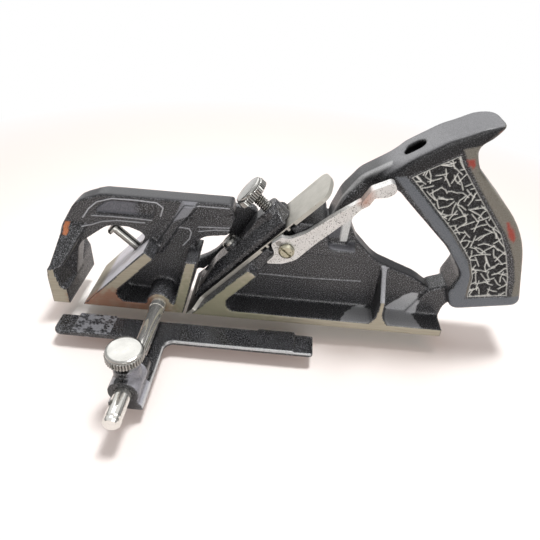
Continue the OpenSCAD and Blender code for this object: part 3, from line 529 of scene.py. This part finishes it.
def subdivide_where(mesh, chosen):
    """Splits the faces whose vertices are all chosen."""
    sheet = bmesh.new()
    sheet.from_mesh(mesh)
    sheet.verts.ensure_lookup_table()
    faces = [face for face in sheet.faces if all(chosen[v.index] for v in face.verts)]
    edges = {edge for face in faces for edge in face.edges}
    bmesh.ops.subdivide_edges(sheet, edges=list(edges), cuts=1, use_grid_fill=True)
    sheet.to_mesh(mesh)
    sheet.free()


def bead_share(co, normal, side, path, width):
    """Share of a bead on both sides of the casting."""
    share = np.zeros(len(co))
    flat = (np.abs(np.abs(co[:, 1]) - side) < SIDE_NEAR) & (np.abs(normal[:, 1]) > 0.5)
    share[flat] = crest(path_distance(co[flat][:, [0, 2]], path), width)
    return share


def grip_ridges(co, normal):
    """Height from 0 to 1 of the crackle and of the line round it, in the grip's panels."""
    panel = outline_distance(co[:, [0, 2]], GRIP_PANEL)
    floor = (panel > 0.3) & (np.abs(co[:, 1]) > PANEL_Y) & (np.abs(normal[:, 1]) > 0.5)
    ridge = np.zeros(len(co))
    for sign, seed in CRACK_SEEDS:
        chosen = floor & (co[:, 1] * sign > 0)
        inner = panel[chosen]
        border = crest(np.abs(inner - BORDER_IN), CRACK_W)
        twigs = crackle(co[chosen][:, [0, 2]], seed) * step(inner, 0.7, BORDER_IN)
        ridge[chosen] = np.maximum(twigs, BORDER_HIGH * border)
    return ridge


def body_patches(co, normal, bead_highlight, ridge, ground):
    """Patches on the body: enamel bared grey by rubbing, painted reflections, highlights and shade, chips, paint
    marks, rust, and stains on the ground iron.
    """
    x, y, z = co.T
    nx, ny, nz = normal.T
    flat = co[:, [0, 2]]
    side = step(np.abs(ny), 0.45, 0.7)
    near_side = side * (y < 0)
    rib = outline_distance(flat, RIB_END)
    kidney = outline_distance(flat, KIDNEY)
    border = outline_distance(flat, GRIP_BORDER)
    back = outline_distance(flat, GRIP_BACK)
    panel = outline_distance(flat, GRIP_PANEL)
    nose = outline_distance(flat, NOSE_CHIP)
    red = np.maximum(*[outline_distance(flat, outline) for outline in GRIP_RED]) + 0.7 * ripple(co, 2, 3)
    ragged = 0.8 * ripple(co, BLOB_WAVE, BLOB_SEED)
    plan = co[:, :2]
    sole_reflection = np.maximum(outline_distance(plan, HEEL_FLOOR), outline_distance(plan, FORE_FLOOR)) + ragged
    heel_web = outline_distance(flat, HEEL_WEB) + ragged
    bar = np.cos(RECESS_TILT) * (x - RECESS_X) + np.sin(RECESS_TILT) * (z - RECESS_Z)
    deep = np.cos(RECESS_TILT) * (z - RECESS_Z) - np.sin(RECESS_TILT) * (x - RECESS_X)
    recess = np.hypot(np.maximum(np.abs(bar) - RECESS_BAR, 0), y)
    up_bull = z * np.sin(BULL_PITCH) + (x - BULL_X) * np.cos(BULL_PITCH)
    on_bull = ground & (nz > 0.5) & (nx < -0.5)
    return [
        # Horn's top, neck, back of the grip, and the borders of its panels
        # Horn's upward faces: grey from rubbing, with a painted reflection of the light overhead
        (0.85 * step(nz, 0.3, 0.6) * step(-nx, -0.5, -0.3) * (x > 158) * step(z, 84, 92), "#78787a"),
        # Painted shade on the neck's upper faces
        (0.7 * step(nz, 0.2, 0.5) * (x > 144) * step(-x, -174, -166) * (z > 58), "#151517"),
        (0.85 * step(nx, 0.3, 0.6) * (x > 205), "#7d786e"),
        (0.85 * side * step(back, -0.4, 0.4) * step(-panel, 0.6, 1.4) * (np.abs(y) > 8), "#7d786e"),
        # Borders of the grip's panels: grey from rubbing, with a painted reflection
        (0.9 * side * step(border, -0.3, 0.3) * step(-panel, 0, 0.6) * (np.abs(y) > 8), "#6a6d72"),
        # Top of the arch and end of its rib, with a painted reflection; its kidney panel
        (0.85 * step(nz, 0.5, 0.75) * step(z, 57, 59) * step(x, 18, 26) * (x < 101), "#3a3a3c"),
        (0.85 * side * step(rib, -0.2, 0.4) * (np.abs(y) > 4), "#8b8b90"),
        (0.8 * side * step(kidney, 0, 0.5) * (np.abs(y) < 4.4) * step(-x, -50, -46), "#6c6c72"),
        # Painted highlights on the top of the rear web, the ledge under the lever and the flange behind the frog,
        # dimmer beside it
        (0.8 * step(nz, 0.4, 0.65) * (x > 150) * (x < 203) * (z > 24) * (z < 60) * (np.abs(y) < 5), "#47474a"),
        (0.8 * step(nz, 0.5, 0.8) * (x > 147) * (x < 166) * (z > 44) * (z < 49) * (y < 0), "#6f6f74"),
        (0.85 * near_side * step(x, 153.4, 154) * (x < 160) * (z > 49) * (z < 63) * (y < -6), "#d6d6d4"),
        (0.8 * near_side * (x > 147.5) * step(-x, -153.6, -153) * (z > 51) * (z < 60) * (y < -6), "#5b5b60"),
        # Painted highlight on the gusset's upper edge; painted grey reflections on the sole and web at the heel
        (0.8 * step(nz, 0.25, 0.5) * (np.abs(x - 180) < 3) * (z > 19) * (z < 41) * (np.abs(y) > 4.6), "#cacace"),
        (0.85 * step(sole_reflection, -0.2, 0.3) * step(nz, 0.4, 0.7) * (z < 8) * (y < -4), "#a6a6a8"),
        (0.85 * step(heel_web, -0.2, 0.3) * near_side * (y > -8), "#b8b8ba"),
        # Painted shade on the horn's side and in its recess; painted highlights on the throat wall's edge, up the
        # neck, on each bead
        (0.7 * side * (x > 160) * step(z, 80, 84) * step(-np.maximum(panel, np.maximum(border, back)), 0, 0.5),
         "#0b0b0d"),
        (step(RECESS_R - recess, 0, 0.3) * (deep > -3) * (nz < 0.97) * step(-deep, -4, -1), "#050506"),
        (0.6 * blob(co, (71, -18.6, 27), (1.2, 1.2, 10)) * ~ground, "#b9b9b6"),
        (0.45 * np.clip(1.6 - np.abs(y + 6) / 1.3, 0, 1) * step(-nx, 0.2, 0.5) * (x > 144) * (x < 172) * (z > 60),
         "#c4c4c4"),
        (bead_highlight, "#c6c6ca"),
        # Chip on the nose, red marks on the grip, rust on the horn's tip
        (0.8 * step(nose + ragged, -0.2, 0.5) * (y < -3), "#c07850"),
        (0.8 * step(red, -0.2, 0.9) * (y < -5), "#a03529"),
        (0.5 * blob(co, (215, -10.5, 112), (2.2, 2.2, 1.3)), "#a8694f"),
        # Black floor of the grip's panels and the light twigs on it
        (0.7 * step(panel, 0.5, 1.0) * side, "#060607"),
        (0.95 * step(ridge, 0.3, 0.9), "#dddbd5"),
        # Rust at the toe and an olive stain at the mouth, on the ground side; painted reflection on the top of the
        # bullnose bed
        (ground * 0.7 * blob(co, (40, -19, 3), (34, 8, 12), 0.3), "#96604a"),
        (ground * 0.75 * blob(co, (95, -19, 10), (40, 8, 24), 0.3), "#84836c"),
        (on_bull * 0.85 * step(up_bull, 12, 18), "#dcdae2")]


# Body's skin: size of its faces, rounds of softening, and the weight on the body, on the handle and on ground faces
BODY_VOXEL, BODY_ROUNDS = 0.62, 12
SOFT_BODY, SOFT_GRIP, SOFT_GROUND = 0.55, 0.8, 0.2
# Further softening of the neck and of the horn's tip: rounds, middle and radius
NECK_SOFT = (50, (167, 0, 86), (19, 40, 15))
TIP_SOFT = (12, (215, 0, 112), (9, 20, 8))
# Depth below the sole's sides and underside that is still ground, and how squarely it has to lie
GROUND_DEEP, GROUND_SQUARE = 0.45, 0.75
# The same on the bullnose bed, and where the bed ends
BULL_DEEP, BULL_SQUARE, BULL_END = 0.5, 0.6, 57
# Wear with a painted highlight where the skin stands proud: share per millimetre, and the most of it
BODY_WEAR_AND_GLINT, BODY_WEAR_AND_GLINT_MOST = 5, 0.5


def casting():
    """Body, webs and closed handle in one iron casting."""
    piece = skin_of("plane_body", "body_casting", BODY_VOXEL)
    mesh = piece.data
    co, _ = arrays(mesh)
    panel = outline_distance(co[:, [0, 2]], GRIP_PANEL)
    weight = np.full(len(co), SOFT_BODY)
    weight[(co[:, 0] > GRIP_X) & (panel < -1.2)] = SOFT_GRIP
    weight[np.abs(co[:, 1]) > HALF_SOLE - 0.4] = SOFT_GROUND
    weight[co[:, 2] < 0.4] = SOFT_GROUND
    soften(mesh, BODY_ROUNDS, weight)
    co, _ = arrays(mesh)
    for rounds, middle, radius in (NECK_SOFT, TIP_SOFT):
        soften(mesh, rounds, blob(co, middle, radius))
    co, _ = arrays(mesh)
    tip = step(co[:, 0], *TIP_X) * step(co[:, 2], *TIP_Z)
    co[:, 0] -= tip * TIP_ROUND * np.maximum(np.abs(co[:, 1]) - TIP_FLAT, 0) ** 2
    set_places(mesh, co)

    co, normal = arrays(mesh)
    panel = outline_distance(co[:, [0, 2]], GRIP_PANEL)
    fine = (panel > -1.0) & (np.abs(co[:, 1]) > PANEL_Y) & (co[:, 2] > 20)
    for side, _, path in BEADS:
        fine |= bead_share(co, normal, side, path, 3 * BEAD_W) > 0
    subdivide_where(mesh, fine)
    co, normal = arrays(mesh)
    ridge = grip_ridges(co, normal)
    co[:, 1] += np.sign(co[:, 1]) * CRACK_H * ridge
    bead_highlight = np.zeros(len(co))
    for side, light, path in BEADS:
        share = bead_share(co, normal, side, path, BEAD_W)
        co[:, 1] += np.sign(co[:, 1]) * BEAD_H * share
        bead_highlight = np.maximum(bead_highlight, light * share)
    co = within(co, "plane_body")
    set_places(mesh, co)

    x, y, z = co.T
    over = z * np.cos(BULL_PITCH) - (x - BULL_X) * np.sin(BULL_PITCH)
    ground = (np.abs(y) > HALF_SOLE - GROUND_DEEP) & (np.abs(normal[:, 1]) > GROUND_SQUARE)
    ground |= (z < GROUND_DEEP) & (normal[:, 2] < -GROUND_SQUARE)
    on_bed = (np.abs(over) < BULL_DEEP) & (x < BULL_END)
    ground |= on_bed & (normal[:, 2] > BULL_SQUARE) & (normal[:, 0] < -BULL_SQUARE)
    mark(mesh, "proud", np.clip(proudness(mesh) * BODY_WEAR_AND_GLINT, 0, BODY_WEAR_AND_GLINT_MOST))
    tint_marks(mesh, body_patches(co, normal, bead_highlight, ridge, ground))
    mesh.materials.append(ENAMEL)
    mesh.materials.append(IRON)
    slots = np.zeros(len(mesh.polygons), np.int32)
    corners = np.empty(len(mesh.loops), np.int32)
    mesh.loops.foreach_get("vertex_index", corners)
    starts = np.empty(len(mesh.polygons), np.int32)
    mesh.polygons.foreach_get("loop_start", starts)
    slots[np.minimum.reduceat(ground[corners].astype(int), starts) > 0] = 1
    mesh.polygons.foreach_set("material_index", slots)
    smooth(mesh)
    finished(piece, "body", "black_enamel", "plane_body")


# Rim along the fence's outer edge and up its arm, as (x, y), pale with wear and a painted highlight
FENCE_RIM = [(145, -39.2), (73, -39.2), (69.5, -40.7), (68, -44.2), (68, -82)]


def fence_patches(co, normal):
    """Pad of the fence bared by rubbing, a painted reflection on its arm, lighter grey on the arm's face turned to
    the heel, and a painted highlight with wear along its rim.
    """
    x, y, _ = co.T
    up = step(normal[:, 2], 0.4, 0.7)
    broken = ripple(co, 1.7, 8) + ripple(co, 3.1, 9) + ripple(co, 6.5, 12)
    pad = up * (x > 17.5) * (x < 38) * (y > -39) * step(broken, -0.3, 0.1)
    arm = up * (y < -68) * (y > -83) * ((x > 62.5) | (x < 56.5)) * step(ripple(co, 9, 2), -0.5, -0.2)
    wall = step(normal[:, 0], 0.2, 0.5) * (y < -68) * (y > -84) * (x > 61.5) * (x < 72)
    rim = np.clip(1.4 - 2.2 * path_distance(co[:, :2], FENCE_RIM), 0, 1) * (co[:, 2] > -3.2) * (co[:, 2] < 0)
    return [(0.7 * pad, "#86868a"), (0.9 * arm, "#dad9de"), (0.75 * wall, "#939299"), (0.85 * rim, "#c8c8c8")]


# Skin of smaller castings: size of faces, rounds and weight of softening, and wear with painted highlight as on the
# body
PIECE_VOXEL, PIECE_ROUNDS, SOFT_PIECE = 0.45, 5, 0.6
PIECE_WEAR_AND_GLINT, PIECE_WEAR_AND_GLINT_MOST = 7, 0.6


def cast_piece(node, name, body, material, patches=None):
    """Smaller casting with softened edges and corners bared by rubbing, with a painted highlight along them."""
    piece = skin_of(node, name, PIECE_VOXEL)
    mesh = piece.data
    soften(mesh, PIECE_ROUNDS, np.full(len(mesh.vertices), SOFT_PIECE))
    set_places(mesh, within(arrays(mesh)[0], node))
    mark(mesh, "proud", np.clip(proudness(mesh) * PIECE_WEAR_AND_GLINT, 0, PIECE_WEAR_AND_GLINT_MOST))
    tint_marks(mesh, patches(*arrays(mesh)) if patches else [])
    mesh.materials.append(material)
    smooth(mesh)
    finished(piece, body, "black_enamel", node)


# Turned pieces


def axis_frame(origin, axis):
    """Matrix whose Z runs along an axis."""
    axis = Vector(axis).normalized()
    return Matrix.Translation(origin) @ axis.to_track_quat("Z", "X").to_matrix().to_4x4()


def span(node, origin, axis):
    """Lowest and highest place of a CAD node along an axis, and its greatest radius, in metres."""
    axis = Vector(axis).normalized()
    reach = [(v.co - Vector(origin)) for v in frame["nodes"][node].data.vertices]
    heights = [r.dot(axis) for r in reach]
    return min(heights), max(heights), max((r - axis * r.dot(axis)).length for r in reach)


# Depth at which a groove is black with oil
GROOVE_DEEP = 0.6 * MM


def turned(name, rings, sides):
    """Closed turned mesh from rings (height, function of angle that gives the radius)."""
    angles = [2 * math.pi * k / sides for k in range(sides)]
    points = [(r(a) * math.cos(a), r(a) * math.sin(a), h) for h, r in rings for a in angles]
    faces = []
    for i in range(len(rings) - 1):
        for k in range(sides):
            n = (k + 1) % sides
            faces.append((i * sides + k, i * sides + n, (i + 1) * sides + n, (i + 1) * sides + k))
    faces.append(tuple(reversed(range(sides))))
    faces.append(tuple((len(rings) - 1) * sides + k for k in range(sides)))
    mesh = bpy.data.meshes.new(name)
    mesh.from_pydata(points, [], faces)
    mesh.update()
    around = np.linalg.norm(np.array(points)[:, :2], axis=1).reshape(len(rings), sides)
    mark(mesh, "groove", np.clip((around.max(1, keepdims=True) - around).ravel() / GROOVE_DEEP, 0, 1))
    return mesh


# Thumb screws: knurl, thread, height of the head, radius of the shank and the neck's share of it
KNURLS = 40
KNURL_DEEP = 0.5 * MM
POINTS_A_KNURL = 4
THREAD_PITCH = 1.3 * MM
THREAD_DEEP = 0.55 * MM
RINGS_A_TURN = 8
HEAD = 6 * MM
SHANK_R = 3 * MM
NECK_SHARE = 0.92
# Angle above which an edge of a turned piece stays sharp
SHARP = math.radians(38)
# Head from its foot to its top: share of its height, share of its radius, and whether the knurl is cut there
HEAD_STEPS = [
    (0.02, 0.78, False), (0.12, 0.92, False), (0.16, 1, True), (0.22, 1, True), (0.6, 1, True), (0.68, 1, True),
    (0.73, 0.95, False), (0.77, 0.89, False), (0.8, 0.89, False), (0.84, 0.94, False), (0.92, 0.92, False),
    (0.96, 0.87, False), (0.975, 0.8, False), (0.99, 0.4, False), (1.0, 0.04, False)]


def thumb_screw(node, name, joint):
    """Thumb screw: cut thread, straight-knurled rim with chamfers, turned dish on top."""
    origin, axis = JOINTS[joint]["pos_m"], JOINTS[joint]["axis"]
    low, high, radius = span(node, origin, axis)
    neck = high - HEAD
    sides = KNURLS * POINTS_A_KNURL

    def thread(h):
        def radius_at(a):
            phase = (h / THREAD_PITCH - a / (2 * math.pi)) % 1
            return SHANK_R - THREAD_DEEP * abs(2 * phase - 1)
        return radius_at

    def cut(r, depth):
        return lambda a: r - depth * (0.5 + 0.5 * math.cos(KNURLS * a))

    rings = [(low + k * THREAD_PITCH / RINGS_A_TURN, thread(low + k * THREAD_PITCH / RINGS_A_TURN))
             for k in range(int((neck - low) / THREAD_PITCH * RINGS_A_TURN))]
    rings.append((neck, cut(SHANK_R * NECK_SHARE, 0)))
    rings += [(neck + up * HEAD, cut(radius * out, KNURL_DEEP * knurled)) for up, out, knurled in HEAD_STEPS]
    piece = object_of(name, turned(name, rings, sides))
    piece.data.transform(axis_frame(origin, axis))
    piece.data.materials.append(NICKEL)
    smooth(piece.data)
    piece.data.set_sharp_from_angle(angle=SHARP)
    finished(piece, node, "nickel_plate", node)


# Eased edges: those sharper than this angle, in so many steps
EASE_ANGLE, EASE_STEPS = math.radians(35), 3


def dress(node, material, bevel=0.25):
    """Keeps a CAD node, eases its edges and gives it its material."""
    piece = frame["nodes"][node]
    ease = piece.modifiers.new("eased", "BEVEL")
    ease.width = bevel * MM
    ease.segments = EASE_STEPS
    ease.limit_method = "ANGLE"
    ease.angle_limit = EASE_ANGLE
    ease.use_clamp_overlap = True
    ease.harden_normals = True
    if not piece.data.materials:
        piece.data.materials.append(material)
    for slot in range(len(piece.data.materials)):
        piece.data.materials[slot] = material


casting()
cast_piece("lever_cap", "lever_cap_casting", "body", FENCE_ENAMEL)
cast_piece("fence", "fence_casting", "fence", FENCE_ENAMEL, fence_patches)
cast_piece("depth_stop", "depth_stop_casting", "depth_stop", FENCE_ENAMEL)
thumb_screw("lever_cap_screw", "cap_thumb_screw", "cap_screw_turn")
thumb_screw("fence_thumb_screw", "fence_knob", "fence_screw_turn")
thumb_screw("depth_stop_screw", "depth_stop_knob", "stop_screw_turn")
dress("cutter", BLADE, 0.15)
dress("adjusting_lever", SATIN_NICKEL, 0.45)
dress("lever_stud", TURNED_STEEL, 0.2)
dress("lever_pivot_screw", PIVOT_STEEL)
dress("main_hook_screw", TURNED_STEEL)
dress("bullnose_hook_screw", TURNED_STEEL)
dress("fence_rod", ROD_STEEL, 0.2)
dress("spur", TURNED_STEEL, 0.15)
dress("spur_screw", TURNED_STEEL, 0.15)


# Stage: a white table, a lamp overhead, soft light from behind and a fill in front

# Share of the camera's view of the paper near the plane that is a brown glow, the painted colour of its shadows
PAPER_GLOW = 0.12
# Distances from the middle, in metres: between which the paper turns an even white, and across and along the plane
# between which it clears from the dark under the body
WHITE_FROM, WHITE_TO = 0.16, 0.4
ACROSS_FROM, ACROSS_TO = 0.012, 0.022
ALONG_FROM, ALONG_TO = 0.1, 0.11


def stage():
    """White paper: a painted brown glow tints its shadow beside the plane, none under the body where it stays dark,
    an even white farther off.
    """
    bpy.ops.mesh.primitive_plane_add(size=6, location=(0, 0, FLOOR_Z))
    floor = bpy.context.object
    floor.name = "table_top"
    made, tree, shader, place = new_material("white_paper")
    path = add(tree, "LightPath").outputs
    seen = add(tree, "Math", {0: path["Is Camera Ray"], 1: path["Is Glossy Ray"]}, operation="MAXIMUM")
    seen = add(tree, "Math", {0: seen.outputs[0], 1: path["Is Transmission Ray"]}, operation="MAXIMUM")
    off = add(tree, "VectorMath", {0: place}, operation="LENGTH").outputs["Value"]
    along, across, _ = (
        add(tree, "Math", {0: way}, operation="ABSOLUTE").outputs[0]
        for way in add(tree, "SeparateXYZ", {0: place}).outputs)
    far = add(tree, "MapRange", {"Value": off, "From Min": WHITE_FROM, "From Max": WHITE_TO})
    beside = add(tree, "MapRange", {"Value": across, "From Min": ACROSS_FROM, "From Max": ACROSS_TO,
                                    "To Max": PAPER_GLOW})
    past = add(tree, "MapRange", {"Value": along, "From Min": ALONG_FROM, "From Max": ALONG_TO, "To Max": PAPER_GLOW})
    clear = add(tree, "Math", {0: beside.outputs[0], 1: past.outputs[0]}, operation="MAXIMUM")
    share = add(tree, "Mix", {"Factor": far.outputs[0], 2: clear.outputs[0], 3: 1.0})
    share = add(tree, "Math", {0: seen.outputs[0], 1: share.outputs[0]}, operation="MULTIPLY")
    # Painted shadow colour: the glow is brown near the plane and white farther off
    shadow_glow_hue = add(tree, "Mix", {"Factor": far.outputs[0], 6: paint("#ffcdb8"), 7: paint("#ffffff")}, data_type="RGBA")
    shader.inputs["Base Color"].default_value = paint("#f3eeeb")
    shader.inputs["Roughness"].default_value = 0.9
    shader.inputs["Specular IOR Level"].default_value = 0.0
    glow = add(tree, "Emission", {"Color": shadow_glow_hue.outputs[2], "Strength": 1.0})
    both = add(tree, "MixShader", {0: share.outputs[0], 1: shader.outputs[0], 2: glow.outputs[0]})
    tree.links.new(both.outputs[0], tree.nodes["Material Output"].inputs["Surface"])
    floor.data.materials.append(made)


def softbox(name, place, target, size, power):
    """Soft lamp with a rectangular face, turned to a target."""
    lamp = bpy.data.lights.new(name, "AREA")
    lamp.shape = "RECTANGLE"
    lamp.size, lamp.size_y = size
    lamp.energy = power
    made = object_of(name, lamp)
    made.matrix_world = axis_frame(Vector(place), Vector(place) - Vector(target))


# Room: its diffuse light, and what metal mirrors of it from the horizon up to a height
ROOM_LIGHT = 0.36
HORIZON_FROM, HORIZON_TO = 0.08, 0.4
HORIZON_LIGHT, SKY_LIGHT = 0.12, 0.92


def world():
    """Even room light: white where the camera sees it, dark near the horizon where metal mirrors it."""
    room = bpy.data.worlds.new("room")
    SCENE.world = room
    room.use_nodes = True
    tree = room.node_tree
    path = add(tree, "LightPath").outputs
    way = add(tree, "SeparateXYZ", {0: add(tree, "TexCoord").outputs["Generated"]})
    mirror = add(tree, "MapRange", {"Value": way.outputs["Z"], "From Min": HORIZON_FROM, "From Max": HORIZON_TO,
                                    "To Min": HORIZON_LIGHT, "To Max": SKY_LIGHT})
    level = add(tree, "Mix", {"Factor": path["Is Glossy Ray"], 2: ROOM_LIGHT, 3: mirror.outputs[0]})
    level = add(tree, "Mix", {"Factor": path["Is Camera Ray"], 2: level.outputs[0], 3: 1.0})
    back = tree.nodes["Background"]
    back.inputs["Color"].default_value = (1, 1, 1, 1)
    tree.links.new(level.outputs[0], back.inputs["Strength"])


# Camera: place, then azimuth, elevation and roll in degrees; focal length and frame in pixels; sensor in millimetres
CAMERA_AT = (125.81, -221.94, 183.51)
CAMERA_TURN = (-1.768, 36.159, 4.027)
FOCAL_PX, FRAME_PX, SENSOR = 492.42, 540, 36


def camera():
    """Camera where the photograph was taken from, tilted as it was held."""
    place = at(*CAMERA_AT)
    az, el, roll = (math.radians(a) for a in CAMERA_TURN)
    ahead = Vector((math.sin(az) * math.cos(el), math.cos(az) * math.cos(el), -math.sin(el)))
    level = Vector((math.cos(az), -math.sin(az), 0))
    up = level.cross(ahead)
    right = math.cos(roll) * level + math.sin(roll) * up
    top = math.cos(roll) * up - math.sin(roll) * level
    lens = bpy.data.cameras.new("camera")
    lens.sensor_width = SENSOR
    lens.lens = SENSOR * FOCAL_PX / FRAME_PX
    lens.clip_start = 0.01
    made = object_of("camera", lens)
    made.matrix_world = Matrix((right, top, -ahead)).transposed().to_4x4()
    made.matrix_world.translation = place
    SCENE.camera = made


stage()
world()
# Lamps: place and target in metres, size in metres, power in watts
softbox("ceiling_lamp", (0.12, 0.1, 0.9), (0.02, 0, 0), (0.22, 0.16), 7.6)
softbox("back_window", (-0.25, 0.62, 0.5), (0, 0, 0.04), (1.0, 0.5), 2.5)
softbox("front_fill", (0.2, -0.8, 0.22), (0.03, 0, 0.03), (0.6, 0.3), 2.7)
camera()
SCENE.view_settings.view_transform = "Standard"
